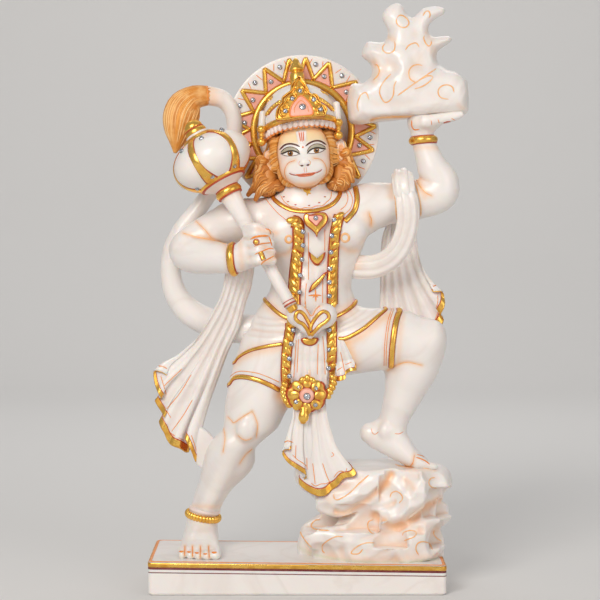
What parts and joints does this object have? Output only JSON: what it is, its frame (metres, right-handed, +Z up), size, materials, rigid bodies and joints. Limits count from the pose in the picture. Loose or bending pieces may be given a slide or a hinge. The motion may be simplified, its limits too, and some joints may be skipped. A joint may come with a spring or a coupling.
{
  "type": "hanuman figure",
  "caption": "Carved white marble standing Hanuman with mace, raised mountain, halo and scarf on its own rock and plinth, painted gold and orange, set with clear glass stones.",
  "frame": {"origin": "middle of the plinth's flat underside", "axes": "+Z up, -Y the way the figure faces, +X to the viewer's right as they face it"},
  "size_m": [0.3357, 0.1329, 0.6091],
  "materials": {
    "marble": "polished white marble, painted with gold leaf, orange, pink and dark red lines",
    "glass": "clear faceted glass stones with a bright foil back"
  },
  "bodies": {
    "root": {"marble_figure": "marble", "halo_stone_1": "glass", "halo_stone_2": "glass", "halo_stone_3": "glass", "halo_stone_4": "glass", "halo_stone_5": "glass", "halo_stone_6": "glass", "halo_stone_7": "glass", "halo_stone_8": "glass", "halo_stone_9": "glass", "halo_stone_10": "glass", "halo_stone_11": "glass", "halo_stone_12": "glass", "halo_stone_13": "glass", "halo_stone_14": "glass", "halo_stone_15": "glass", "halo_stone_16": "glass", "crown_stone_1": "glass", "crown_stone_2": "glass", "crown_stone_3": "glass", "crown_stone_4": "glass", "crown_stone_5": "glass", "crown_stone_6": "glass", "garland_stone_1": "glass", "garland_stone_2": "glass", "garland_stone_3": "glass", "garland_stone_4": "glass", "garland_stone_5": "glass", "garland_stone_6": "glass", "garland_stone_7": "glass", "garland_stone_8": "glass", "garland_stone_9": "glass", "garland_stone_10": "glass", "garland_stone_11": "glass", "garland_stone_12": "glass", "garland_stone_13": "glass", "garland_stone_14": "glass", "garland_stone_15": "glass", "garland_stone_16": "glass", "garland_stone_17": "glass", "garland_stone_18": "glass", "garland_stone_19": "glass", "garland_stone_20": "glass", "garland_stone_21": "glass", "garland_stone_22": "glass", "garland_stone_23": "glass", "garland_stone_24": "glass", "mace_stone_1": "glass", "mace_stone_2": "glass", "mace_stone_3": "glass", "mace_stone_4": "glass", "mace_stone_5": "glass", "mace_stone_6": "glass"}
  },
  "joints": []
}
